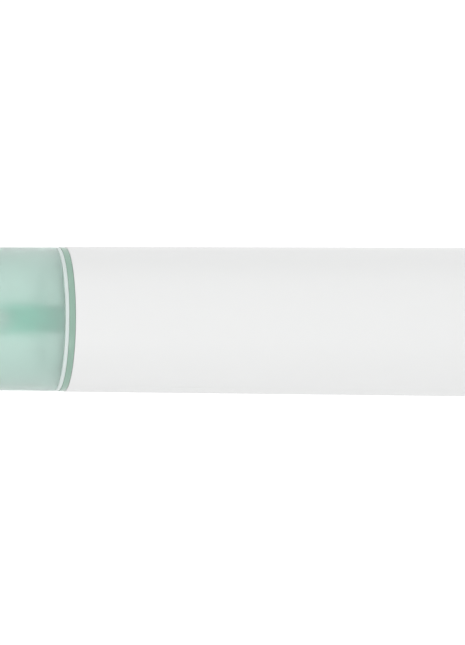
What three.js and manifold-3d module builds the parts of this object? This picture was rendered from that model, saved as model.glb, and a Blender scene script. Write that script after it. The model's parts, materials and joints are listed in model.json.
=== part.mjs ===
// A traffic baton light: a drafted green light tube on a white battery handle with a screw-off tail cap.
//
// Millimetres, +Z up. The baton stands on its tail, the origin is the centre of the flat base, and +Y is
// the side with the switch. From the tail: boot, cap and magnet, battery carrier, chassis with the driver
// board and push switch, collar and seal at the joint, then the light tube round a board with LEDs on both
// faces.
import * as THREE from "three";
import { mergeVertices } from "three/addons/utils/BufferGeometryUtils.js";
import Module from "manifold-3d";

const wasm = await Module();
wasm.setup();

// ---------------------------------------------------------------- driving dimensions

const SIDES = 28; // facets round a large turned piece
const FEW_SIDES = 12; // facets round a screw or a small pin
const CELL_SIDES = 18; // facets round a cell, a contact or a drum
const GAP = 0.3; // clearance between pieces that are assembled together
const PAST = 1; // how far a cutter runs past the face that it cuts

// Overall
const JOINT_Z = 210; // mouth of the handle, where the light section starts
const LENS_LENGTH = 327.3; // foot of the light tube to its tip
const DRAFT = 0.0067; // radius lost for each millimetre of height, on handle and light tube alike

// Cells, which set the bore and so the width of the handle
const CELL_COUNT = 3;
const CELL_R = 7.15;
const CELL_LENGTH = 49.2;
const CELL_NUB_R = 2.7;
const CELL_NUB = 1;
const CELL_EDGE = 0.4;
const CELL_GAP = 0.4; // between neighbouring cells
const STRIP_SPACE = 1.25; // between carrier and bore, for the return strip
const PLATE_T = 3; // end plates of the carrier
const SPINE_R = 1.1; // round rods between the cells
const CONTACT_T = 0.4; // all brass sheet
const LINK_WIDTH = 6; // plates that join two cells
const FOOT_CONTACT_R = 7.5;
const TOP_CONTACT_R = 5;

// Handle
const HANDLE_WALL = 2.1; // at the mouth
const CAP_HEIGHT = 24; // base to the foot of the handle
const FOOT_CLEARANCE = 0.2; // cap rim to handle
const FOOT_STEP = 0.5; // the bore is wider by this where the cap screws in
const FOOT_DEPTH = 15; // length of that wider stretch
const MOUTH_DEPTH = 7; // counterbore that takes the collar
const LEDGE_T = 3; // ring in the bore that collar and chassis clamp
const LEDGE_WIDTH = 1.5;
const GRIP_FOOT = 8; // handle foot to the grip sleeve
const GRIP_LENGTH = 66;
const GRIP_SINK = 1; // depth of the recess that takes the sleeve
const GRIP_PROUD = 0.5; // ribs of the sleeve above the handle
const GRIP_RIBS = 6;

// Switch
const SWITCH_DROP = 42; // joint to the middle of the switch
const PAD_MARGIN = 1.4; // round pad moulded on the handle, beyond the bezel
const PAD_PROUD = 1.1;
const BUTTON_R = 7;
const BUTTON_PROUD = 0.8; // above the bezel
const BUTTON_TRAVEL = 2;
const BUTTON_FLANGE_T = 1.2;
const BEZEL_WALL = 1.8;
const BEZEL_FLANGE = 2;
const BEZEL_FLANGE_T = 0.7;
const BEZEL_DEPTH = 2.8; // how far the bezel goes into the handle
const SWITCH_SIDE = 8.5;
const SWITCH_RISE = 6; // lid of the switch body to the button's flange
const PLUNGER_R = 1.7;

// Tail cap
const BOOT_WALL = 2.6;
const BOOT_FLOOR = 2.2;
const BOOT_HEIGHT = 15;
const BOOT_PROUD = 0.9; // beyond the cap rim
const BOOT_EDGE = 1.2; // rounded lower edge
const SCALLOPS = 10;
const SCALLOP_R = 6;
const SCALLOP_DEPTH = 0.8;
const SCALLOP_SIDES = 18;
const RETAINER_T = 2;
const MAGNET_T = 8;
const SCREW_LAND = 5.5; // plastic round the magnet that takes the screws
const WEB_T = 2;
const WEB_HOLE_R = 5;
const SPIGOT_LENGTH = 14.2;
const SPIGOT_WALL = 3;
const SPIGOT_SPACE = 1.2; // spigot to bore
const CUP_RIM = 2; // width of the contact cup's rim
const SEAL_SECTION_R = 1;
const SEAL_SIDES = 6;
const SEAL_RISE = 2.2; // cap rim to the middle of its seal
const THREAD_PITCH = 3.5;
const THREAD_TURNS = 2;
const THREAD_SECTION_R = 0.8;
const THREAD_RISE = 5.7; // cap rim to the start of its thread
const THREAD_STEPS = 20; // for each turn
const SPRING_R = 5;
const SPRING_WIRE_R = 0.5;
const SPRING_TURNS = 4;
const SPRING_STEPS = 12; // for each turn

// Lanyard lug and ring
const RING_R = 7.5;
const RING_WIRE_R = 1;
const RING_SIDES = 6; // facets round the wire
const LUG_T = 3.2;
const LUG_HOLE_R = 1.7;
const LUG_WALL = 1.5;
const LUG_STAND = 3.4; // hole to the cap rim

// Joint between handle and light tube
const COLLAR_HEIGHT = 1.65; // the green ring that shows
const COLLAR_SINK = 0.12; // below the handle's surface
const COLLAR_WALL = 2;
const COLLAR_RISE = 1.45; // spigot through the seal, just into the foot of the light tube
const LIP_WIDTH = 1.6;
const LIP_T = 2;
const SEAL_HEIGHT = 1.05; // the pale line that shows
const LENS_SINK = 0.2; // light tube below the handle's surface
const LENS_WALL = 2;
const DOME_HEIGHT = 12;
const DOME_STEPS = 5;
const BUMPER_WALL = 1.6;
const BUMPER_SKIRT = 8;

// Boards
const LED_BOARD_WIDTH = 7.5;
const LED_BOARD_T = 1.2;
const LED_BOARD_TAIL = 18.5; // how far it reaches below the joint
const LED_COUNT = 7; // on each face
const LED_FIRST = 18.4; // joint to the first LED
const LED_LAST = 36; // last LED below the tip
const LED_R = 2.5;
const LED_FLANGE = 0.4; // beyond the body
const LED_FLANGE_T = 1;
const LED_BODY = 5.2; // straight part, flange included
const LED_SIDES = 10;
const CLIP_T = 4;
const HOLDER_BASE_T = 2.8;
const HOLDER_RISE = 7.1; // jaws above the joint
const JAW_BITE = 0.4; // how far a jaw overlaps the edge of the board
const JAW_DEPTH = 12; // half the front-to-back size of a jaw
const POST_R = 2.6;
const POST_INSET = 4.5; // rim of the holder to its posts
const CHASSIS_DISC_T = 2.7;
const TRAY_Y = 2; // near face of the tray that carries the driver board
const TRAY_T = 2;
const TRAY_HALF_WIDTH = 11.5;
const TRAY_WINDOW = 10; // open height at the foot of the tray
const BOARD_T = 1.6;
const BOARD_HALF_WIDTH = 10;
const BOARD_TOP_DROP = 13.5; // joint to the top of the driver board
const BOARD_SCREW_X = 7.5;
const BOARD_SCREW_INSET = 5;
const DRUM_R = 4; // the inductor's
const DRUM_HEIGHT = 4.4;
const DRUM_FLANGE_T = 1;
const DRUM_X = 5; // sideways from the middle of the board, and so is the capacitor
const DRUM_DROP = 17.5; // below the switch
const CAPACITOR_R = 3;
const CAPACITOR_LENGTH = 9;
const CHIP_WIDTH = 5;
const CHIP_T = 1.5;
const CHIP_RISE = 13; // above the switch
const HEADER_HEIGHT = 4;
const HEADER_INSET = 1; // edge of the LED board to the header
const STRIP_WIDTH = 5;
const STRIP_FOOT = 3; // length of the tab that the cup meets
const STRIP_RISE = 4; // tray foot to the strip's upper tab
const PIN_RISE = 0.6; // tray foot to the tip of the front contact's pin

// Screws
const SCREW_R = 1.1;
const SCREW_HEAD_R = 2.1;
const SCREW_HEAD_T = 1.2;
const SCREW_HOLE_R = SCREW_R + GAP;

// ---------------------------------------------------------------- what follows from them

const CELL_RING_R = (2 * CELL_R + CELL_GAP) / Math.sqrt(3);
const CARRIER_R = CELL_RING_R + CELL_R;
const BORE_R = CARRIER_R + STRIP_SPACE;
const MOUTH_R = BORE_R + HANDLE_WALL;
const STRIP_Y = GAP - Math.sqrt(BORE_R ** 2 - (STRIP_WIDTH / 2) ** 2);
const BORE_FOOT_R = BORE_R + FOOT_STEP;
const handleR = (z) => MOUTH_R + DRAFT * (JOINT_Z - z);

const CAP_RIM_Z = CAP_HEIGHT - FOOT_CLEARANCE;
const CAP_RIM_R = handleR(CAP_HEIGHT);
const BOOT_R = CAP_RIM_R + BOOT_PROUD;
const CAP_CORE_R = BOOT_R - BOOT_WALL - GAP;
const RETAINER_Z = BOOT_FLOOR + GAP;
const CAP_FOOT_Z = RETAINER_Z + RETAINER_T + GAP;
const MAGNET_R = CAP_CORE_R - SCREW_LAND - GAP;
const POCKET_TOP_Z = CAP_FOOT_Z + MAGNET_T + GAP;
const CUP_FLOOR_Z = POCKET_TOP_Z + WEB_T + GAP;
const SPIGOT_R = BORE_FOOT_R - SPIGOT_SPACE;
const SPIGOT_TOP_Z = CAP_RIM_Z + SPIGOT_LENGTH;
const CUP_R = SPIGOT_R - SPIGOT_WALL - GAP;
const CUP_RIM_Z = SPIGOT_TOP_Z + GAP;
const SCREW_RING_R = CAP_CORE_R - SCREW_LAND / 2;

const STRIP_FOOT_Z = CUP_RIM_Z + 2 * CONTACT_T;
const CARRIER_CONTACT_Z = STRIP_FOOT_Z + CONTACT_T + 2 * GAP;
const CARRIER_Z = CARRIER_CONTACT_Z + CONTACT_T + GAP;
const LINK_Z = CARRIER_Z + PLATE_T + GAP;
const CELL_Z = LINK_Z + CONTACT_T + GAP;
const TOP_LINK_Z = CELL_Z + CELL_LENGTH + CELL_NUB + GAP;
const CARRIER_TOP_PLATE_Z = TOP_LINK_Z + CONTACT_T + GAP;
const CARRIER_TOP_Z = CARRIER_TOP_PLATE_Z + PLATE_T;
const TOP_CONTACT_Z = CARRIER_TOP_Z + GAP;
const FRONT_CONTACT_Z = TOP_CONTACT_Z + 2 * CONTACT_T;
const CHASSIS_Z = FRONT_CONTACT_Z + CONTACT_T + GAP;
const CHASSIS_R = BORE_R - GAP;
const TRAY_FOOT_Z = CHASSIS_Z + CHASSIS_DISC_T;
const LEDGE_Z = JOINT_Z - MOUTH_DEPTH - LEDGE_T;
const CHASSIS_TOP_Z = LEDGE_Z - GAP;

const LENS_FOOT_Z = JOINT_Z + COLLAR_HEIGHT + SEAL_HEIGHT;
const LENS_TOP_Z = LENS_FOOT_Z + LENS_LENGTH;
const LENS_SHOULDER_Z = LENS_TOP_Z - DOME_HEIGHT;
const lensR = (z) => MOUTH_R - LENS_SINK - DRAFT * (z - LENS_FOOT_Z);
const COLLAR_R = lensR(LENS_FOOT_Z) - LENS_WALL - GAP;
const COLLAR_BORE_R = COLLAR_R - COLLAR_WALL;
const HOLDER_R = COLLAR_BORE_R - GAP;
const LIP_TOP_Z = JOINT_Z - COLLAR_HEIGHT;
const HOLDER_Z = LIP_TOP_Z + GAP;
const POSTS = [-1, 1].map((side) => side * (HOLDER_R - POST_INSET));

const SWITCH_Z = JOINT_Z - SWITCH_DROP;
const PAD_Y = handleR(SWITCH_Z) + PAD_PROUD;
const BEZEL_R = BUTTON_R + GAP + BEZEL_WALL;
const PAD_R = BEZEL_R + BEZEL_FLANGE + PAD_MARGIN;
const BEZEL_Y = PAD_Y - BEZEL_DEPTH;
const BUTTON_FLANGE_Y = BEZEL_Y - GAP;
const BUTTON_TOP_Y = PAD_Y + GAP + BEZEL_FLANGE_T + BUTTON_PROUD;
const BUTTON_FOOT_Y = BUTTON_FLANGE_Y - BUTTON_FLANGE_T - GAP;
const BOARD_Y = TRAY_Y + TRAY_T + GAP;
const BOARD_FACE_Y = BOARD_Y + BOARD_T;
const SWITCH_TOP_Y = BUTTON_FLANGE_Y - SWITCH_RISE + BUTTON_FLANGE_T;
const BOARD_FOOT_Z = TRAY_FOOT_Z + 1.5;
const BOARD_TOP_Z = JOINT_Z - BOARD_TOP_DROP;

const LUG_Y = CAP_RIM_R + LUG_STAND;
const LUG_Z = (BOOT_HEIGHT + CAP_RIM_Z) / 2 - GAP / 2;

// ---------------------------------------------------------------- shapes, and joining and cutting them

/** Turned about Z. The outline is [radius, height] pairs, anticlockwise: up the outside, down the inside. */
function turned(outline, sides = SIDES) {
  const touchesAxis = outline[0][0] === 0;
  const loop = touchesAxis ? outline : [...outline, outline[0]];
  const points = loop.map(([r, z]) => new THREE.Vector2(r, z));
  return new THREE.LatheGeometry(points, sides).rotateX(Math.PI / 2);
}

/** A round bar along Z from z0 to z1. */
function bar(radius, z0, z1, x = 0, y = 0, sides = SIDES) {
  return turned([[0, z0], [radius, z0], [radius, z1], [0, z1]], sides).translate(x, y, 0);
}

function box(x0, x1, y0, y1, z0, z1) {
  const block = new THREE.BoxGeometry(x1 - x0, y1 - y0, z1 - z0);
  return block.translate((x0 + x1) / 2, (y0 + y1) / 2, (z0 + z1) / 2);
}

/** Turns a shape made along Z to stand along +Y, its height 0 at the baton's axis, at height z. */
function alongY(shape, z, x = 0) {
  return shape.rotateX(-Math.PI / 2).translate(x, 0, z);
}

class Helix extends THREE.Curve {
  constructor(radius, pitch, turns, z0) {
    super();
    Object.assign(this, { radius, pitch, turns, z0 });
  }
  getPoint(t, target = new THREE.Vector3()) {
    const a = t * this.turns * 2 * Math.PI;
    const z = this.z0 + t * this.turns * this.pitch;
    return target.set(this.radius * Math.cos(a), this.radius * Math.sin(a), z);
  }
}

/** A wire of hexagonal section along a helix. */
function coil(helix, wireR, stepsPerTurn) {
  const corners = round(6, wireR).map(([x, y]) => new THREE.Vector2(x, y));
  const steps = helix.turns * stepsPerTurn;
  const section = new THREE.Shape(corners);
  return new THREE.ExtrudeGeometry(section, { steps, extrudePath: helix, bevelEnabled: false });
}

/** A right-hand screw thread: a ridge of hexagonal section, half sunk in the wall. */
function thread(radius, z0) {
  return coil(new Helix(radius, THREAD_PITCH, THREAD_TURNS, z0), THREAD_SECTION_R, THREAD_STEPS);
}

/** [x, y] places evenly round a circle, the first at an angle in degrees. */
function round(count, radius, first = 0) {
  return Array.from({ length: count }, (_, i) => {
    const a = THREE.MathUtils.degToRad(first + (360 * i) / count);
    return [radius * Math.cos(a), radius * Math.sin(a)];
  });
}

/**
 * A closed shape as a manifold-3d solid. Triangles that collapse where a turned outline meets its axis go.
 */
function solid(shape) {
  if (!shape.isBufferGeometry) return shape;
  const bare = new THREE.BufferGeometry();
  bare.setAttribute("position", shape.getAttribute("position"));
  bare.setIndex(shape.index);
  const merged = mergeVertices(bare, 1e-4);
  const corners = merged.index.array;
  const kept = [];
  for (let i = 0; i < corners.length; i += 3) {
    const [a, b, c] = corners.slice(i, i + 3);
    if (a !== b && b !== c && c !== a) kept.push(a, b, c);
  }
  const vertProperties = merged.getAttribute("position").array;
  return new wasm.Manifold(new wasm.Mesh({ numProp: 3, vertProperties, triVerts: new Uint32Array(kept) }));
}

const join = (first, ...others) => others.reduce((made, shape) => made.add(solid(shape)), solid(first));
const cut = (from, ...tools) => tools.reduce((made, shape) => made.subtract(solid(shape)), solid(from));

// ---------------------------------------------------------------- tail cap

const RETAINER_SCREWS = round(3, SCREW_RING_R, 30);

function tailBoot() {
  const inner = BOOT_R - BOOT_WALL;
  const edge = BOOT_R - BOOT_EDGE;
  const corner = BOOT_EDGE * (1 - Math.SQRT1_2);
  const cup = turned([
    [0, 0], [edge, 0], [BOOT_R - corner, corner], [BOOT_R, BOOT_EDGE], [BOOT_R, BOOT_HEIGHT - BOOT_EDGE / 2],
    [BOOT_R - BOOT_EDGE / 2, BOOT_HEIGHT], [inner, BOOT_HEIGHT], [inner, BOOT_FLOOR], [0, BOOT_FLOOR],
  ]);
  const centre = BOOT_R + SCALLOP_R - SCALLOP_DEPTH;
  const grooves = round(SCALLOPS, centre, 180 / SCALLOPS).map(([x, y]) =>
    bar(SCALLOP_R, BOOT_EDGE * 2, BOOT_HEIGHT + PAST, x, y, SCALLOP_SIDES),
  );
  return cut(cup, ...grooves);
}

function magnetRetainer() {
  const sink = RETAINER_Z + SCREW_HEAD_T + GAP / 2;
  const holes = RETAINER_SCREWS.flatMap(([x, y]) => [
    bar(SCREW_HOLE_R, RETAINER_Z - PAST, CAP_FOOT_Z, x, y, FEW_SIDES),
    bar(SCREW_HEAD_R + GAP, RETAINER_Z - PAST, sink, x, y, FEW_SIDES),
  ]);
  return cut(bar(CAP_CORE_R - GAP, RETAINER_Z, RETAINER_Z + RETAINER_T), ...holes);
}

/** A pan-head screw with a cross recess, from the face of its head at height 0 up to its point. */
function screw(length) {
  const body = turned(
    [
      [0, 0], [SCREW_HEAD_R * 0.8, 0], [SCREW_HEAD_R, SCREW_HEAD_T / 3], [SCREW_HEAD_R, SCREW_HEAD_T],
      [SCREW_R, SCREW_HEAD_T], [SCREW_R, length - SCREW_R], [0, length],
    ],
    FEW_SIDES,
  );
  const long = SCREW_HEAD_R * 0.6;
  const wide = SCREW_HEAD_R * 0.15;
  const deep = SCREW_HEAD_T * 0.6;
  return cut(body, box(-long, long, -wide, wide, -PAST, deep), box(-wide, wide, -long, long, -PAST, deep));
}

const magnet = () => bar(MAGNET_R, CAP_FOOT_Z, CAP_FOOT_Z + MAGNET_T);

/** A bar along X through the lug's hole. */
function lugBar(radius, length) {
  return bar(radius, -length / 2, length / 2).rotateY(Math.PI / 2).translate(0, LUG_Y, LUG_Z);
}

/** Cap with the pocket for the magnet below, the threaded spigot above, and the lug for the lanyard ring. */
function endCap() {
  const hollow = CUP_R + GAP;
  const pocket = MAGNET_R + GAP;
  const shoulder = BOOT_HEIGHT + GAP;
  const sealZ = CAP_RIM_Z + SEAL_RISE;
  const groove = SEAL_SECTION_R + GAP;
  const grooveR = SPIGOT_R - SEAL_SECTION_R - GAP;
  const shell = turned([
    [pocket, CAP_FOOT_Z], [CAP_CORE_R, CAP_FOOT_Z], [CAP_CORE_R, shoulder], [CAP_RIM_R, shoulder],
    [CAP_RIM_R, CAP_RIM_Z], [SPIGOT_R, CAP_RIM_Z], [SPIGOT_R, sealZ - groove], [grooveR, sealZ - groove],
    [grooveR, sealZ + groove], [SPIGOT_R, sealZ + groove], [SPIGOT_R, SPIGOT_TOP_Z], [hollow, SPIGOT_TOP_Z],
    [hollow, CUP_FLOOR_Z - GAP], [WEB_HOLE_R, CUP_FLOOR_Z - GAP], [WEB_HOLE_R, POCKET_TOP_Z],
    [pocket, POCKET_TOP_Z],
  ]);
  const pilots = RETAINER_SCREWS.map(([x, y]) =>
    bar(SCREW_HOLE_R, CAP_FOOT_Z - PAST, POCKET_TOP_Z, x, y, FEW_SIDES),
  );
  const eyeR = LUG_HOLE_R + LUG_WALL;
  const neck = box(-LUG_T / 2, LUG_T / 2, CAP_RIM_R - PAST, LUG_Y, LUG_Z - eyeR, LUG_Z + eyeR);
  const made = join(shell, thread(SPIGOT_R, CAP_RIM_Z + THREAD_RISE), lugBar(eyeR, LUG_T), neck);
  return cut(made, ...pilots, lugBar(LUG_HOLE_R, LUG_T + 2 * PAST));
}

function capSeal() {
  const z = CAP_RIM_Z + SEAL_RISE;
  return turned(round(SEAL_SIDES, SEAL_SECTION_R).map(([r, up]) => [SPIGOT_R + r, z + up]));
}

/** Deep-drawn brass cup: the spring stands in it, and its rim meets the return strip. */
function contactCup() {
  const inner = CUP_R - CONTACT_T;
  const rim = CUP_R + CUP_RIM;
  return turned([
    [0, CUP_FLOOR_Z], [CUP_R, CUP_FLOOR_Z], [CUP_R, CUP_RIM_Z], [rim, CUP_RIM_Z],
    [rim, CUP_RIM_Z + CONTACT_T], [inner, CUP_RIM_Z + CONTACT_T], [inner, CUP_FLOOR_Z + CONTACT_T],
    [0, CUP_FLOOR_Z + CONTACT_T],
  ]);
}

function batterySpring() {
  const foot = CUP_FLOOR_Z + CONTACT_T + GAP + SPRING_WIRE_R;
  const top = CARRIER_CONTACT_Z - GAP - SPRING_WIRE_R;
  const pitch = (top - foot) / SPRING_TURNS;
  return coil(new Helix(SPRING_R, pitch, SPRING_TURNS, foot), SPRING_WIRE_R, SPRING_STEPS);
}

// ---------------------------------------------------------------- battery carrier

const CELL_PLACES = round(CELL_COUNT, CELL_RING_R, 90);

/** Two round plates on a centre rod and three outer ones. */
function batteryCarrier() {
  const rods = round(CELL_COUNT, CARRIER_R - 2 * SPINE_R, 30);
  return join(
    bar(CARRIER_R, CARRIER_Z, CARRIER_Z + PLATE_T),
    bar(CARRIER_R, CARRIER_TOP_PLATE_Z, CARRIER_TOP_Z),
    ...[[0, 0], ...rods].map(([x, y]) => bar(SPINE_R, CARRIER_Z, CARRIER_TOP_Z, x, y, FEW_SIDES)),
  );
}

function cell() {
  const top = CELL_LENGTH;
  const inset = CELL_R - CELL_EDGE;
  return turned(
    [
      [0, 0], [inset, 0], [CELL_R, CELL_EDGE], [CELL_R, top - CELL_EDGE], [inset, top],
      [CELL_NUB_R, top], [CELL_NUB_R, top + CELL_NUB], [0, top + CELL_NUB],
    ],
    CELL_SIDES,
  );
}

/** Brass plate that joins the ends of two cells. */
function cellLink(first, second, z) {
  const [[x0, y0], [x1, y1]] = [CELL_PLACES[first], CELL_PLACES[second]];
  const half = Math.hypot(x1 - x0, y1 - y0) / 2 + LINK_WIDTH / 2;
  const plate = box(-half, half, -LINK_WIDTH / 2, LINK_WIDTH / 2, z, z + CONTACT_T);
  return plate.rotateZ(Math.atan2(y1 - y0, x1 - x0)).translate((x0 + x1) / 2, (y0 + y1) / 2, 0);
}

/** Round brass sheet on the axis. */
const contactDisc = (radius, z) => bar(radius, z, z + CONTACT_T, 0, 0, CELL_SIDES);

// ---------------------------------------------------------------- handle

const GRIP_Z = CAP_HEIGHT + GRIP_FOOT;
const GRIP_TOP_Z = GRIP_Z + GRIP_LENGTH;

function handleShell() {
  const foot = CAP_HEIGHT + FOOT_DEPTH;
  const mouth = JOINT_Z - MOUTH_DEPTH;
  const ledgeR = BORE_R - LEDGE_WIDTH;
  const sunk = (z) => handleR(z) - GRIP_SINK;
  const shell = turned([
    [BORE_FOOT_R, CAP_HEIGHT], [handleR(CAP_HEIGHT), CAP_HEIGHT], [handleR(GRIP_Z), GRIP_Z],
    [sunk(GRIP_Z), GRIP_Z], [sunk(GRIP_TOP_Z), GRIP_TOP_Z], [handleR(GRIP_TOP_Z), GRIP_TOP_Z],
    [MOUTH_R, JOINT_Z], [BORE_R, JOINT_Z], [BORE_R, mouth], [ledgeR, mouth], [ledgeR, LEDGE_Z],
    [BORE_R, LEDGE_Z], [BORE_R, foot], [BORE_FOOT_R, foot],
  ]);
  const pad = alongY(bar(PAD_R, BORE_R / 2, PAD_Y), SWITCH_Z);
  const bore = bar(BORE_R, SWITCH_Z - PAD_R - PAST, SWITCH_Z + PAD_R + PAST);
  const hole = alongY(bar(BEZEL_R + GAP, BORE_R / 2, PAD_Y + PAST), SWITCH_Z);
  // This thread runs half a pitch below the cap's, so each ridge turns in the other's groove.
  const ridge = thread(BORE_FOOT_R, CAP_RIM_Z + THREAD_RISE - THREAD_PITCH / 2);
  return cut(join(shell, cut(pad, bore), ridge), hole);
}

/** Soft sleeve in the handle's recess, with ribs round it. */
function gripSleeve() {
  const inner = (z) => handleR(z) - GRIP_SINK + GAP / 2;
  const z0 = GRIP_Z + GAP / 2;
  const z1 = GRIP_TOP_Z - GAP / 2;
  const rib = (z1 - z0) / (2 * GRIP_RIBS + 1);
  const ribs = Array.from({ length: GRIP_RIBS }, (_, i) => {
    const foot = z0 + (2 * i + 1) * rib;
    const top = foot + rib;
    return [
      [handleR(foot), foot], [handleR(foot) + GRIP_PROUD, foot + GRIP_PROUD],
      [handleR(top) + GRIP_PROUD, top - GRIP_PROUD], [handleR(top), top],
    ];
  });
  return turned([[inner(z0), z0], [handleR(z0), z0], ...ribs.flat(), [handleR(z1), z1], [inner(z1), z1]]);
}

// ---------------------------------------------------------------- switch
// Its pieces are turned about the button's own axis, with height 0 at the baton's axis.

function switchBezel() {
  const inner = BUTTON_R + GAP;
  const seat = PAD_Y + GAP;
  const top = seat + BEZEL_FLANGE_T;
  const rim = BEZEL_R + BEZEL_FLANGE;
  return turned([
    [inner, BEZEL_Y], [BEZEL_R, BEZEL_Y], [BEZEL_R, seat], [rim, seat], [rim, seat + BEZEL_FLANGE_T / 2],
    [rim - BEZEL_FLANGE_T / 2, top], [inner, top],
  ]);
}

function switchButton() {
  const flange = BEZEL_R - GAP;
  return turned([
    [0, BUTTON_FLANGE_Y - BUTTON_FLANGE_T], [flange, BUTTON_FLANGE_Y - BUTTON_FLANGE_T],
    [flange, BUTTON_FLANGE_Y], [BUTTON_R, BUTTON_FLANGE_Y], [BUTTON_R, BUTTON_TOP_Y - BUTTON_PROUD],
    [BUTTON_R * 0.8, BUTTON_TOP_Y - BUTTON_PROUD * 0.3], [BUTTON_R * 0.45, BUTTON_TOP_Y], [0, BUTTON_TOP_Y],
  ]);
}

function switchPlunger() {
  const foot = BOARD_FACE_Y + 3 * GAP + BUTTON_TRAVEL;
  return bar(PLUNGER_R, foot, BUTTON_FOOT_Y, 0, 0, FEW_SIDES);
}

function pushSwitch() {
  const half = SWITCH_SIDE / 2;
  const body = box(-half, half, -half, half, BOARD_FACE_Y + GAP, SWITCH_TOP_Y);
  return cut(body, bar(PLUNGER_R + GAP, BOARD_FACE_Y + 2 * GAP, SWITCH_TOP_Y + PAST, 0, 0, FEW_SIDES));
}

// ---------------------------------------------------------------- chassis and driver board

const BOARD_SCREWS = [
  [-BOARD_SCREW_X, BOARD_FOOT_Z + BOARD_SCREW_INSET],
  [BOARD_SCREW_X, BOARD_TOP_Z - BOARD_SCREW_INSET],
];
const boardHoles = () =>
  BOARD_SCREWS.map(([x, z]) => {
    const hole = bar(SCREW_HOLE_R, TRAY_Y - PAST, BOARD_FACE_Y + PAST, 0, 0, FEW_SIDES);
    return alongY(hole, z, x);
  });

/** Frame inside the handle: foot disc, tray for the driver board, top disc and the posts of the holder. */
function chassis() {
  const topFoot = CHASSIS_TOP_Z - CHASSIS_DISC_T;
  const slot = LED_BOARD_WIDTH / 2 + 2 * GAP;
  const notch = STRIP_WIDTH / 2 + GAP;
  const made = join(
    bar(CHASSIS_R, CHASSIS_Z, TRAY_FOOT_Z),
    box(-TRAY_HALF_WIDTH, TRAY_HALF_WIDTH, TRAY_Y, TRAY_Y + TRAY_T, TRAY_FOOT_Z, topFoot),
    bar(CHASSIS_R, topFoot, CHASSIS_TOP_Z),
    ...POSTS.map((y) => bar(POST_R, CHASSIS_TOP_Z - GAP, HOLDER_Z - GAP, 0, y, FEW_SIDES)),
  );
  return cut(
    made,
    bar(SCREW_HOLE_R, CHASSIS_Z - PAST, TRAY_FOOT_Z + PAST, 0, 0, FEW_SIDES),
    box(-notch, notch, -BORE_R, STRIP_Y + CONTACT_T + GAP, CHASSIS_Z - PAST, TRAY_FOOT_Z + PAST),
    box(-slot, slot, -LED_BOARD_T, LED_BOARD_T, topFoot - PAST, CHASSIS_TOP_Z + PAST),
    box(-slot, slot, TRAY_Y - PAST, TRAY_Y + TRAY_T + PAST, TRAY_FOOT_Z, TRAY_FOOT_Z + TRAY_WINDOW),
    box(-slot, slot, TRAY_Y - PAST, TRAY_Y + TRAY_T + PAST, BOARD_TOP_Z - HEADER_HEIGHT - GAP, topFoot),
    ...boardHoles(),
    ...POSTS.map((y) => bar(SCREW_HOLE_R, LEDGE_Z, HOLDER_Z, 0, y, FEW_SIDES)),
  );
}

/** Brass disc under the chassis, with a pin up through it. */
function frontContact() {
  const pin = bar(SCREW_R, FRONT_CONTACT_Z, TRAY_FOOT_Z + PIN_RISE, 0, 0, FEW_SIDES);
  return join(contactDisc(TOP_CONTACT_R, FRONT_CONTACT_Z), pin);
}

/** Brass strip from the cap's cup, up the bore, and in to the foot of the driver board. */
function returnStrip() {
  const half = STRIP_WIDTH / 2;
  const top = TRAY_FOOT_Z + STRIP_RISE;
  return join(
    box(-half, half, STRIP_Y, STRIP_Y + CONTACT_T, STRIP_FOOT_Z, top),
    box(-half, half, STRIP_Y, STRIP_Y + STRIP_FOOT, STRIP_FOOT_Z, STRIP_FOOT_Z + CONTACT_T),
    box(-half, half, STRIP_Y, BOARD_Y - GAP, top - CONTACT_T, top),
  );
}

function driverBoard() {
  const board = box(-BOARD_HALF_WIDTH, BOARD_HALF_WIDTH, BOARD_Y, BOARD_FACE_Y, BOARD_FOOT_Z, BOARD_TOP_Z);
  return cut(board, ...boardHoles());
}

/** Waisted drum on the board, its axis along +Y. */
function inductor() {
  const foot = BOARD_FACE_Y + GAP;
  const [waistFoot, waistTop] = [foot + DRUM_FLANGE_T, foot + DRUM_HEIGHT - DRUM_FLANGE_T];
  const waistR = DRUM_R - DRUM_FLANGE_T;
  return turned(
    [
      [0, foot], [DRUM_R, foot], [DRUM_R, waistFoot], [waistR, waistFoot],
      [waistR, waistTop], [DRUM_R, waistTop], [DRUM_R, foot + DRUM_HEIGHT], [0, foot + DRUM_HEIGHT],
    ],
    CELL_SIDES,
  );
}

function driverChip() {
  const y = BOARD_FACE_Y + GAP;
  return box(-CHIP_WIDTH / 2, CHIP_WIDTH / 2, y, y + CHIP_T, -CHIP_WIDTH / 2, CHIP_WIDTH / 2);
}

/** Pin header between the two boards. */
function boardHeader() {
  const half = LED_BOARD_WIDTH / 2 - HEADER_INSET;
  return box(-half, half, LED_BOARD_T / 2 + GAP, BOARD_Y - GAP, BOARD_TOP_Z - HEADER_HEIGHT, BOARD_TOP_Z);
}

// ---------------------------------------------------------------- joint

/** Clear green ring: flange on the handle's mouth, skirt in its counterbore, spigot inside the light tube. */
function lensCollar() {
  const skirtR = BORE_R - GAP;
  const foot = JOINT_Z - MOUTH_DEPTH;
  const flangeTop = JOINT_Z + COLLAR_HEIGHT;
  const lipR = COLLAR_BORE_R - LIP_WIDTH;
  const rimR = MOUTH_R - COLLAR_SINK;
  return turned([
    [COLLAR_BORE_R, foot + GAP], [skirtR, foot + GAP], [skirtR, JOINT_Z + GAP], [rimR, JOINT_Z + GAP],
    [rimR, flangeTop], [COLLAR_R, flangeTop], [COLLAR_R, flangeTop + COLLAR_RISE],
    [COLLAR_BORE_R, flangeTop + COLLAR_RISE], [COLLAR_BORE_R, LIP_TOP_Z], [lipR, LIP_TOP_Z],
    [lipR, LIP_TOP_Z - LIP_T], [COLLAR_BORE_R, LIP_TOP_Z - LIP_T],
  ]);
}

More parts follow.
